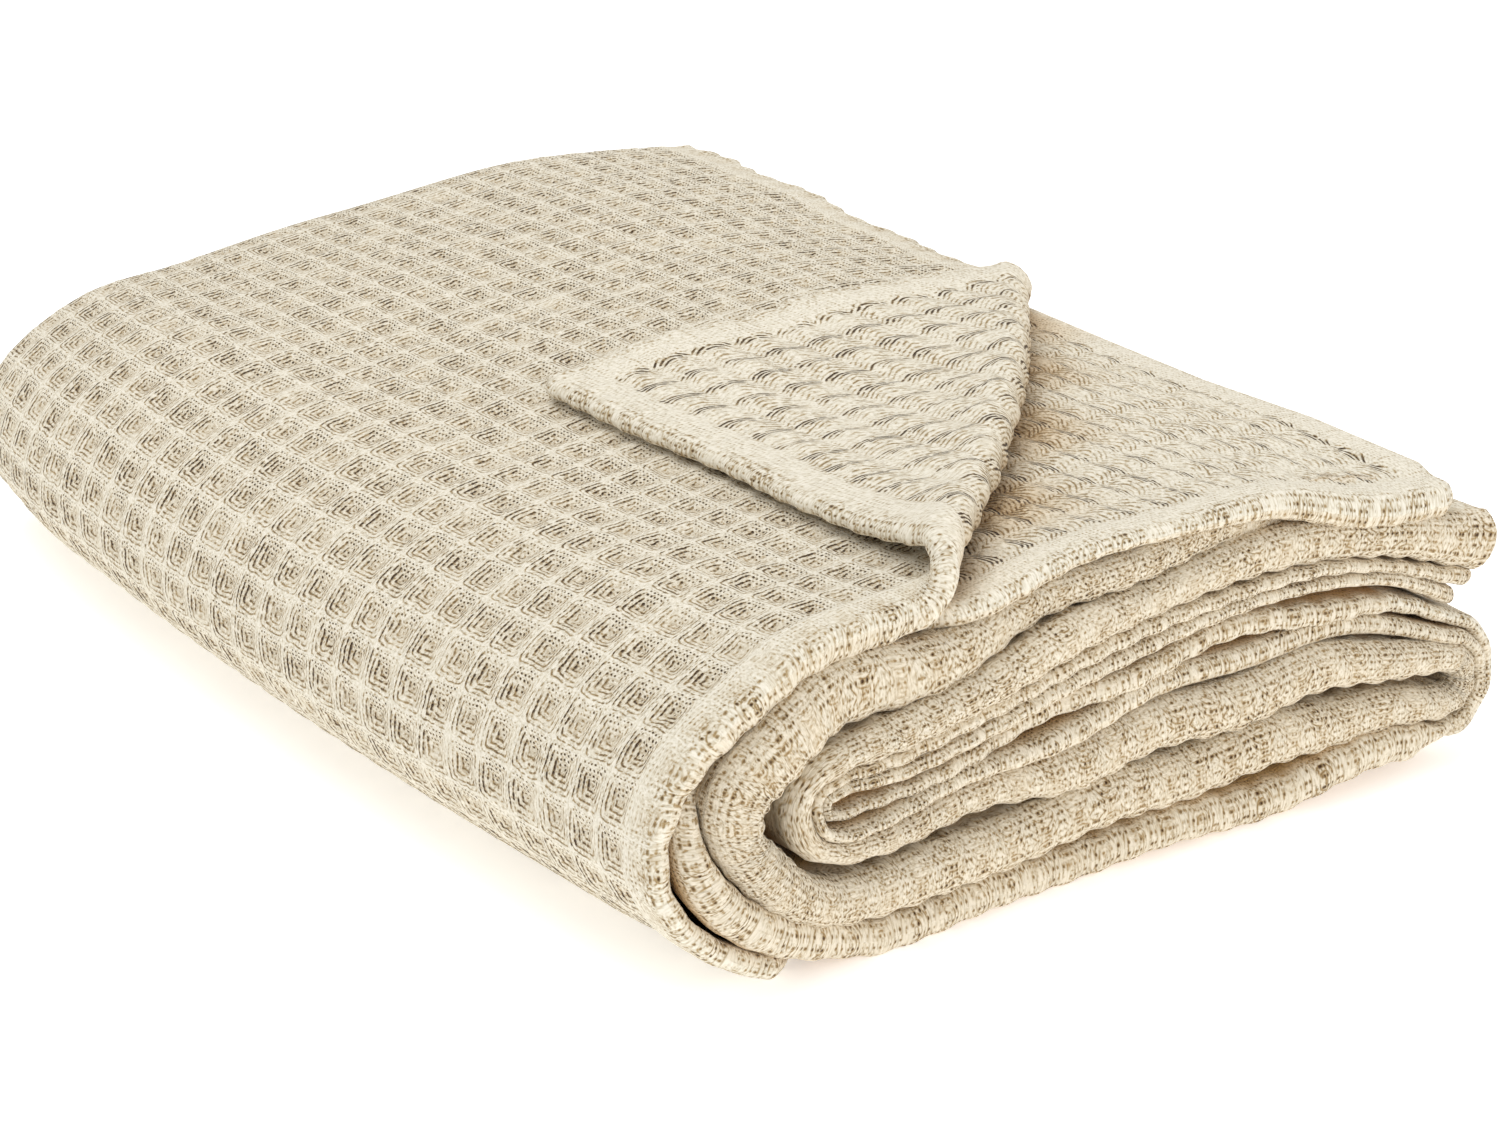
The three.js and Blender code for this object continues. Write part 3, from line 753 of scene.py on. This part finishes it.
def seen_closely(columns, rows):
    """Which quads of each side of the mesh keep all their points: those that can be seen."""
    row = {name: rows.column(name) for name in rows.items[0]}
    distance = np.interp(columns, CLOTH_RUN, CLOTH_DISTANCE)[None, :]
    at = strip_at(distance)
    shape = np.broadcast(row["y"], distance).shape
    at_start = strip_at(distance + row["start"] * np.maximum(0, 1 - distance / END_EASE))
    reach = crease_reach(at_start, row, distance)
    outer = (row["layer"] == OUTER_HEM) & (row["flat"] > 0)
    inner = (row["layer"] == INNER_HEM) & (row["flat"] > 0)
    front = row["y"] < KEPT_FRONT
    ends = (columns < END_BAND) | (columns > CLOTH_RUN[-1] - END_BAND)
    back = (row["flat"] == 0) & (row["y"] > DEPTH)
    face = outer & open_side(distance, at) | front | ends | back
    reverse = outer & (reach > CLOSE_REACH[0]) | inner & (reach > CLOSE_REACH[1])
    reverse = reverse & (row["y"] < BARE_DEPTH) | (front | ends) & (row["flat"] > 0)
    under_flap = outer & (reach > CLOSE_REACH[2]) & ~front & ~ends
    return [np.broadcast_to(face & ~under_flap, shape), np.broadcast_to(reverse, shape)]


def coarse_blocks(fine, row_stops, stops):
    """Splits one side into blocks, and says which of them keep all their points."""
    for top, bottom in zip(row_stops, row_stops[1:]):
        for left, right in zip(stops, stops[1:]):
            block = fine[top:bottom + 1, left:right + 1]
            yield top, bottom, left, right, bool(block[:-1, :-1].any())


def rim_of(top, bottom, left, right):
    """The points round a block, in order."""
    rim = [(row, left) for row in range(top, bottom)]
    rim += [(bottom, column) for column in range(left, right)]
    rim += [(row, right) for row in range(bottom, top, -1)]
    return rim + [(top, column) for column in range(right, left, -1)]


def side_faces(fine, row_stops, stops, used):
    """Faces of one side. A coarse block is a fan round its middle, and takes in the points
    that its fine neighbours have on its rim."""
    blocks = list(coarse_blocks(fine, row_stops, stops))
    for top, bottom, left, right, close in blocks:
        if close:
            used[top:bottom + 1, left:right + 1] = True
        else:
            used[[top, top, bottom, bottom], [left, right, left, right]] = True
    faces = []
    for top, bottom, left, right, close in blocks:
        if close:
            faces += [((row, column), (row + 1, column), (row + 1, column + 1), (row, column + 1))
                      for row in range(top, bottom) for column in range(left, right)]
            continue
        rim = [place for place in rim_of(top, bottom, left, right) if used[place]]
        if len(rim) == 4:
            faces.append(tuple(rim))
            continue
        hub = ((top + bottom) // 2, (left + right) // 2)
        if hub in rim:
            faces.append(tuple(rim))
            continue
        faces += [(hub, a, b) for a, b in zip(rim, rim[1:] + rim[:1])]
    return faces


def cloth_faces(columns, rows):
    """Faces of the closed cloth, as (side, row, column) corners."""
    fine = seen_closely(columns, rows)
    stops = column_stops(columns)
    count = (len(rows.items), len(columns))
    used = []
    for side in (0, 1):
        rim = np.zeros(count, bool)
        rim[0, :] = rim[-1, :] = True
        rim[:, 0] = rim[:, -1] = True
        used.append(rim)
    faces = []
    for side in (0, 1):
        for corners in side_faces(fine[side], rows.stops, stops, used[side]):
            placed = [(side, row, column) for row, column in corners]
            faces.append(placed if side == 0 else placed[::-1])
    rim = rim_of(0, count[0] - 1, 0, count[1] - 1)
    for a, b in zip(rim, rim[1:] + rim[:1]):
        faces.append([(0, *b), (0, *a), (1, *a), (1, *b)])
    return faces


def make_blanket():
    """The blanket, as one closed mesh with its place in the weave on every point."""
    columns = mesh_columns()
    rows = cloth_rows()
    row, at = lay_out(columns, rows)
    points = cloth_points(row, at)
    faces = cloth_faces(columns, rows)
    count = points.shape[:3]
    flat_faces = [[np.ravel_multi_index(corner, count) for corner in face] for face in faces]
    kept = np.unique(np.concatenate([np.array(face) for face in flat_faces]))
    renumber = np.full(np.prod(count), -1)
    renumber[kept] = np.arange(len(kept))
    mesh = bpy.data.meshes.new("waffle_blanket")
    mesh.from_pydata(points.reshape(-1, 3)[kept].tolist(), [],
                     [renumber[face].tolist() for face in flat_faces])
    mesh.validate()
    places = {"weave_place": weave_places(row), "edge_place": edge_places(row, at)}
    for name, values in places.items():
        place = mesh.attributes.new(name, "FLOAT_VECTOR", "POINT")
        place.data.foreach_set("vector", values.reshape(-1, 3)[kept].ravel())
    mesh.polygons.foreach_set("use_smooth", [True] * len(mesh.polygons))
    blanket = bpy.data.objects.new("waffle_blanket", mesh)
    bpy.context.scene.collection.objects.link(blanket)
    return blanket


def linear(code):
    """A linear colour from an sRGB hex code."""
    parts = [int(code[i:i + 2], 16) / 255 for i in (1, 3, 5)]
    return [p / 12.92 if p <= 0.04045 else ((p + 0.055) / 1.055) ** 2.4 for p in parts] + [1.0]


def add(tree, kind, *values, sockets=None, **settings):
    """Adds a node and gives its first output. kind may end in a dot and the node's operation.

    Values go to the node's inputs in order, or by name in sockets, and an output is linked."""
    name, _, operation = kind.partition(".")
    node = tree.nodes.new("ShaderNode" + name)
    if operation:
        node.operation = operation
    for setting, value in settings.items():
        setattr(node, setting, value)
    for socket, value in [*enumerate(values), *(sockets or {}).items()]:
        if isinstance(value, bpy.types.NodeSocket):
            tree.links.new(value, node.inputs[socket])
        elif value is not None:
            node.inputs[socket].default_value = value
    return next((output for output in node.outputs if output.enabled), node)


def wave(tree, place, pitch, phase=0.0):
    """1 at every pitch along a place, and 0 half way between."""
    angle = add(tree, "Math.MULTIPLY_ADD", place, 2 * math.pi / pitch, phase)
    return add(tree, "Math.MULTIPLY_ADD", add(tree, "Math.COSINE", angle), 0.5, 0.5)


def as_share(low, high):
    """What a value is multiplied by and what is added, so that low becomes 0 and high 1."""
    scale = 1 / (high - low)
    return scale, -low * scale


def face_slits(tree, signed_a, signed_b):
    """The slits between the floats of the waffle face, in rounded squares inside each other.

    On two sides of a pit they are long, and most open on the far one. On its upper side they
    are rows of pinholes, and on its lower side they are faint. Places are in cells."""
    a = add(tree, "Math.ABSOLUTE", signed_a)
    b = add(tree, "Math.ABSOLUTE", signed_b)
    square = add(tree, "Math.ADD", add(tree, "Math.POWER", a, PIT_SQUARENESS),
                 add(tree, "Math.POWER", b, PIT_SQUARENESS))
    square = add(tree, "Math.POWER", square, 1 / PIT_SQUARENESS)
    between = add(tree, "Math.POWER", wave(tree, square, 1 / THREADS), SLIT_POWER)
    far = add(tree, "Math.MULTIPLY_ADD", signed_b, *as_share(*FAR_SIDE), use_clamp=True)
    long_side = add(tree, "Mix", far, None, *LONG_SLITS, data_type="FLOAT")
    crossed = wave(tree, a, 1 / THREADS)
    crossed = add(tree, "Math.MULTIPLY_ADD", crossed, 1 - CROSSED, CROSSED)
    long_side = add(tree, "Math.MULTIPLY", long_side, crossed)
    dots = add(tree, "Math.POWER", wave(tree, b, 1 / THREADS), DOT_POWER)
    dots = add(tree, "Math.MULTIPLY", dots, END_SLITS[0])
    lower = add(tree, "Math.MULTIPLY_ADD", signed_a, *as_share(*LOWER_SIDE), use_clamp=True)
    end_side = add(tree, "Mix", lower, None, dots, END_SLITS[1], data_type="FLOAT")
    crossing = add(tree, "Math.SUBTRACT", a, b)
    crossing = add(tree, "Math.MULTIPLY_ADD", crossing, *as_share(*DIAGONAL), use_clamp=True)
    side = add(tree, "Mix", crossing, None, long_side, end_side, data_type="FLOAT")
    in_pit = add(tree, "Math.SUBTRACT", PIT_EDGE, square)
    in_pit = add(tree, "Math.MULTIPLY_ADD", in_pit, *as_share(*PIT_RIM), use_clamp=True)
    slits = add(tree, "Math.MULTIPLY", between, side)
    return square, crossing, add(tree, "Math.MULTIPLY", slits, in_pit)


def reverse_slits(tree, signed_a, signed_b):
    """Arched slits between the long floats of the reverse, a few inside each other."""
    arch = add(tree, "Math.COSINE", add(tree, "Math.MULTIPLY", signed_b, math.pi))
    bent = add(tree, "Math.MULTIPLY_ADD", arch, ARCH["rise"], signed_a)
    lines = add(tree, "Math.POWER", wave(tree, bent, ARCH["pitch"]), ARCH["power"])
    off = add(tree, "Math.ABSOLUTE", bent)
    near = add(tree, "Math.SUBTRACT", ARCH_GROUP["reach"], off)
    near = add(tree, "Math.MULTIPLY_ADD", near, *as_share(*ARCH_GROUP["sides"]), use_clamp=True)
    width = add(tree, "Math.MULTIPLY_ADD", bent, ARCH_GROUP["taper"], ARCH_GROUP["width"])
    inside = add(tree, "Math.SUBTRACT", width, add(tree, "Math.ABSOLUTE", signed_b))
    inside = add(tree, "Math.MULTIPLY_ADD", inside, *as_share(*ARCH_GROUP["ends"]), use_clamp=True)
    group = add(tree, "Math.MULTIPLY", near, inside)
    group = add(tree, "Math.MULTIPLY_ADD", group, 1 - ARCH_FAINT, ARCH_FAINT)
    lines = add(tree, "Math.MULTIPLY_ADD", lines, *ARCH["open"])
    return add(tree, "Math.MULTIPLY", lines, group)


def nose_slits(tree, lump, run):
    """Slits and pinholes round the lumps of a rounded edge, in ovals inside each other."""
    across = add(tree, "Math.DIVIDE", run, NOSE_OVAL)
    oval = add(tree, "Math.MULTIPLY", lump, lump)
    oval = add(tree, "Math.MULTIPLY_ADD", across, across, oval)
    oval = add(tree, "Math.SQRT", oval)
    ovals = add(tree, "Math.POWER", wave(tree, oval, 1 / THREADS, math.pi), SLIT_POWER)
    step_along, step_round = NOSE_HOLES
    holes = add(tree, "Math.MULTIPLY", wave(tree, lump, step_along, math.pi),
                wave(tree, run, step_round, math.pi))
    holes = add(tree, "Math.POWER", holes, NOSE_POWER)
    holes = add(tree, "Math.MULTIPLY", holes, NOSE_OPEN["holes"])
    ovals = add(tree, "Math.MULTIPLY", ovals, NOSE_OPEN["ovals"])
    both = add(tree, "Math.MAXIMUM", holes, ovals)
    near = add(tree, "Math.MULTIPLY_ADD", run, *as_share(*NOSE_END), use_clamp=True)
    return add(tree, "Math.MULTIPLY", both, near)


def uneven(tree, place, scale, factor, offset, clamped):
    """A value that changes from place to place in the cloth."""
    noise = add(tree, "TexNoise", sockets={
        "Vector": place, "Scale": scale, "Detail": 2.0 if clamped else 1.0})
    return add(tree, "Math.MULTIPLY_ADD", noise, factor, offset, use_clamp=clamped)


def yarn_streaks(tree, place, along, across):
    """Long streaks of lighter and darker yarn, drawn out along the threads."""
    drawn = add(tree, "VectorMath.MULTIPLY", place, (along, across, 1.0))
    return add(tree, "TexNoise", sockets={"Vector": drawn, "Scale": 1.0, "Detail": 2.0})


def weave_sockets(tree):
    """The place in the weave in mm, in the cell and at the edge, by name."""
    # The threads don't run quite straight
    place = add(tree, "Attribute", attribute_name="weave_place").node.outputs["Vector"]
    reverse = add(tree, "SeparateXYZ", place).node.outputs["Z"]
    for scale, size in THREAD_DRIFT:
        drift = add(tree, "TexNoise", sockets={"Vector": place, "Scale": scale, "Detail": 1.0})
        drift = add(tree, "VectorMath.SUBTRACT", drift.node.outputs["Color"], (0.5, 0.5, 0.5))
        drift = add(tree, "VectorMath.MULTIPLY", drift, (2 * size, 2 * size, 0))
        place = add(tree, "VectorMath.ADD", place, drift)
    along, across, _ = add(tree, "SeparateXYZ", place).node.outputs
    at_edge = add(tree, "Attribute", attribute_name="edge_place").node.outputs["Vector"]
    lump, run, hidden = add(tree, "SeparateXYZ", at_edge).node.outputs

    # The place in the cell, from -0.5 to 0.5
    cell = add(tree, "VectorMath.SUBTRACT", place, (HEM_WIDTH, HEM_WIDTH, 0))
    cell = add(tree, "VectorMath.DIVIDE", cell, (CELL[0], CELL[1], 1))
    cell = add(tree, "VectorMath.FRACTION", cell)
    cell = add(tree, "VectorMath.SUBTRACT", cell, (0.5, 0.5, 0))
    signed_a, signed_b, _ = add(tree, "SeparateXYZ", cell).node.outputs
    return {"place": place, "along": along, "across": across, "reverse": reverse, "lump": lump,
            "run": run, "hidden": hidden, "cell": (signed_a, signed_b)}


def weave_slits(tree, weave):
    """How open the slits and pinholes are, after the square of floats that a place is on and
    whether that runs across the strip there."""
    run, reverse, place = weave["run"], weave["reverse"], weave["place"]
    square, crossing, on_face = face_slits(tree, *weave["cell"])
    on_reverse = reverse_slits(tree, *weave["cell"])
    slits = add(tree, "Mix", reverse, None, on_face, on_reverse, data_type="FLOAT")

    # Pinholes where threads cross, which are all there is on a hem away from its edge
    holes = add(tree, "Math.MULTIPLY", wave(tree, weave["along"], CELL[0] / THREADS, math.pi),
                wave(tree, weave["across"], CELL[1] / THREADS, math.pi))
    holes = add(tree, "Math.POWER", holes, HOLE_POWER)
    hem = add(tree, "Math.MULTIPLY_ADD", run, *as_share(*HEM_END), use_clamp=True)
    hole_share = add(tree, "Mix", hem, None, PINHOLES, HEM_PINHOLES, data_type="FLOAT")
    holes = add(tree, "Math.MULTIPLY", holes, hole_share)
    on_edge = nose_slits(tree, weave["lump"], run)
    slits = add(tree, "Mix", hem, None, slits, on_edge, data_type="FLOAT")
    slits = add(tree, "Math.MAXIMUM", slits, holes)

    # No two slits and no two cells are equally open
    single = uneven(tree, place, *UNEVEN_SLITS, clamped=True)
    slack = uneven(tree, place, *UNEVEN_CELLS, clamped=False)
    # Where the reverse lies between layers its slits open further: painted shade, which also
    # deepens the bump there
    slack = add(tree, "Math.ADD", slack, add(tree, "Math.MULTIPLY", weave["hidden"], reverse))
    slits = add(tree, "Math.MULTIPLY", slits, add(tree, "Math.MULTIPLY", single, slack))
    return square, crossing, slits


def thread_colour_and_shade(tree, weave, square, slits, yarns):
    """Colour, from threads on top, through painted shade on those lower down, to painted shade in
    the slits, with painted warm light and shade where cloth is lit through the layers beside it."""
    reverse, hidden = weave["reverse"], weave["hidden"]

    # 1 at the bottom of a pit, and 0 on its ribs and on the reverse: where the pit's painted shade
    # falls
    depth = add(tree, "Math.MULTIPLY_ADD", square, *as_share(0.5, 0), use_clamp=True)
    depth = add(tree, "Math.MULTIPLY", depth, add(tree, "Math.SUBTRACT", 1.0, reverse))
    tone = add(tree, "Math.MULTIPLY_ADD", yarns, YARN, THREAD_TONE - YARN / 2)
    tone = add(tree, "Math.MULTIPLY_ADD", depth, PIT_SHADE, tone)
    # Painted shade deep between the layers, growing with the distance from the edge
    deep = add(tree, "Math.MULTIPLY_ADD", weave["run"], *as_share(*DEEP), use_clamp=True)
    deep = add(tree, "Math.MULTIPLY", deep, hidden)

    # The painted shade deep between the layers falls on the reverse only in the hollows between its
    # lumps
    hollow = add(tree, "Math.POWER", add(tree, "Math.MULTIPLY", square, 2.0), SLIT_POWER)
    hollow = add(tree, "Mix", reverse, None, 1.0, hollow, data_type="FLOAT")
    deep = add(tree, "Math.MULTIPLY", deep, hollow)
    tone = add(tree, "Math.MULTIPLY_ADD", deep, DEEP_SHADE, tone)
    # Painted shade in the slits and pinholes
    tone = add(tree, "Math.ADD", tone, slits, use_clamp=True)
    colour = add(tree, "ValToRGB", tone)
    ramp = colour.node.color_ramp
    for position, code in COTTON_AND_SHADE_TONES[1:-1]:
        ramp.elements.new(position)
    for element, (position, code) in zip(ramp.elements, COTTON_AND_SHADE_TONES):
        element.position = position
        element.color = linear(code)
    # Painted warm light and shade where cloth lies between layers, and a little at the bottom of a
    # pit
    warm = add(tree, "Math.MULTIPLY_ADD", depth, PIT_WARMTH, hidden, use_clamp=True)
    return add(tree, "Mix", data_type="RGBA", blend_type="MULTIPLY",
               sockets={0: warm, 6: colour, 7: linear(BETWEEN_LAYERS)})


def new_material(name):
    """A material with no nodes yet, and its node tree."""
    material = bpy.data.materials.new(name)
    material.use_nodes = True
    material.node_tree.nodes.clear()
    return material, material.node_tree


def undyed_cotton():
    """Undyed cotton waffle weave. It is matt, with a soft bloom of loose fibres. Threads that lie
    on top are pale, and the slits between them are painted with warm brown shade."""
    material, tree = new_material("undyed_cotton_waffle_weave")
    weave = weave_sockets(tree)
    square, crossing, slits = weave_slits(tree, weave)
    place = weave["place"]
    fibres = add(tree, "TexNoise", sockets={"Vector": place, "Scale": FIBRES, "Detail": 2.0})
    across_strip = add(tree, "Math.MAXIMUM", crossing, weave["reverse"])
    yarns = [yarn_streaks(tree, place, *steps) for steps in (YARN_STREAKS, YARN_STREAKS[::-1])]
    yarns = add(tree, "Mix", across_strip, None, *yarns, data_type="FLOAT")
    colour = thread_colour_and_shade(tree, weave, square, slits, yarns)

    # The threads stand out as a bump. Its fibres are drawn coarser than real ones, which
    # would be too fine to show.
    height = add(tree, "Math.MULTIPLY_ADD", slits, -1.0, 1.0)
    height = add(tree, "Math.MULTIPLY_ADD", fibres, FIBRE_HEIGHT, height)
    height = add(tree, "Math.MULTIPLY_ADD", yarns, YARN_HEIGHT, height)
    bump = add(tree, "Bump", sockets={"Strength": 1.0, "Distance": THREAD_HEIGHT * MM,
                                      "Height": height})
    shader = add(tree, "BsdfPrincipled", sockets={
        "Base Color": colour, "Roughness": 0.92, "IOR": 1.5, "Normal": bump,
        "Specular IOR Level": 0.25, "Sheen Weight": 0.25, "Sheen Roughness": 0.5,
        "Sheen Tint": linear(COTTON_AND_SHADE_TONES[0][1])})
    add(tree, "OutputMaterial", shader)
    return material


def matt_white_paint():
    """White emulsion paint, matt, with hardly any highlight."""
    material, tree = new_material("matt_white_paint")
    shader = add(tree, "BsdfPrincipled", sockets={
        "Base Color": linear(FLOOR_WHITE), "Roughness": 0.9, "Specular IOR Level": 0.1,
        "Emission Color": linear(FLOOR_WHITE), "Emission Strength": FLOOR_GLOW})
    add(tree, "OutputMaterial", shader)
    return material


def make_floor():
    """A plain pale floor."""
    bpy.ops.object.select_all(action="DESELECT")
    bpy.ops.mesh.primitive_plane_add(size=FLOOR_SIZE, location=(0, 0, FLOOR_LEVEL))
    floor = bpy.context.active_object
    floor.name = "floor"
    floor.data.materials.append(matt_white_paint())


def make_studio():
    """Even light from all round, one soft box high above the pile and one low in front of it."""
    world = bpy.data.worlds.new("studio")
    world.use_nodes = True
    background = world.node_tree.nodes["Background"]
    background.inputs["Color"].default_value = (1.0, 1.0, 1.0, 1.0)
    background.inputs["Strength"].default_value = ROOM_LIGHT
    bpy.context.scene.world = world
    for name, (place, side, power) in SOFT_BOXES.items():
        data = bpy.data.lights.new(name, "AREA")
        data.size = side
        data.energy = power
        light = bpy.data.objects.new(name, data)
        bpy.context.scene.collection.objects.link(light)
        turn = (Vector(place) - Vector(LIGHT_AIM)).to_track_quat("Z", "Y")
        light.matrix_world = Matrix.Translation(place) @ turn.to_matrix().to_4x4()


def make_camera():
    """The photograph's camera."""
    data = bpy.data.cameras.new("camera")
    data.lens = CAMERA_LENS
    data.sensor_width = CAMERA_FILM
    data.sensor_fit = "HORIZONTAL"
    camera = bpy.data.objects.new("camera", data)
    camera.location = CAMERA_PLACE
    camera.rotation_euler = [math.radians(angle) for angle in CAMERA_TURN]
    bpy.context.scene.collection.objects.link(camera)
    bpy.context.scene.camera = camera


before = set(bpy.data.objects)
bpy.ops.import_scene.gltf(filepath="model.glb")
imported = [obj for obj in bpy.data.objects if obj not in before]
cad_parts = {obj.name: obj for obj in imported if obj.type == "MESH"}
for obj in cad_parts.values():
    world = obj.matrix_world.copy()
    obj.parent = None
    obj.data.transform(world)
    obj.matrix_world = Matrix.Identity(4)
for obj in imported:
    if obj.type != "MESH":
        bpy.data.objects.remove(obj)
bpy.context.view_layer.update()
bpy.context.scene.view_settings.view_transform = "Standard"
make_camera()
blanket = make_blanket()
blanket.data.materials.append(undyed_cotton())
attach(blanket, "root")
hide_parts("folded_cloth")
make_floor()
make_studio()
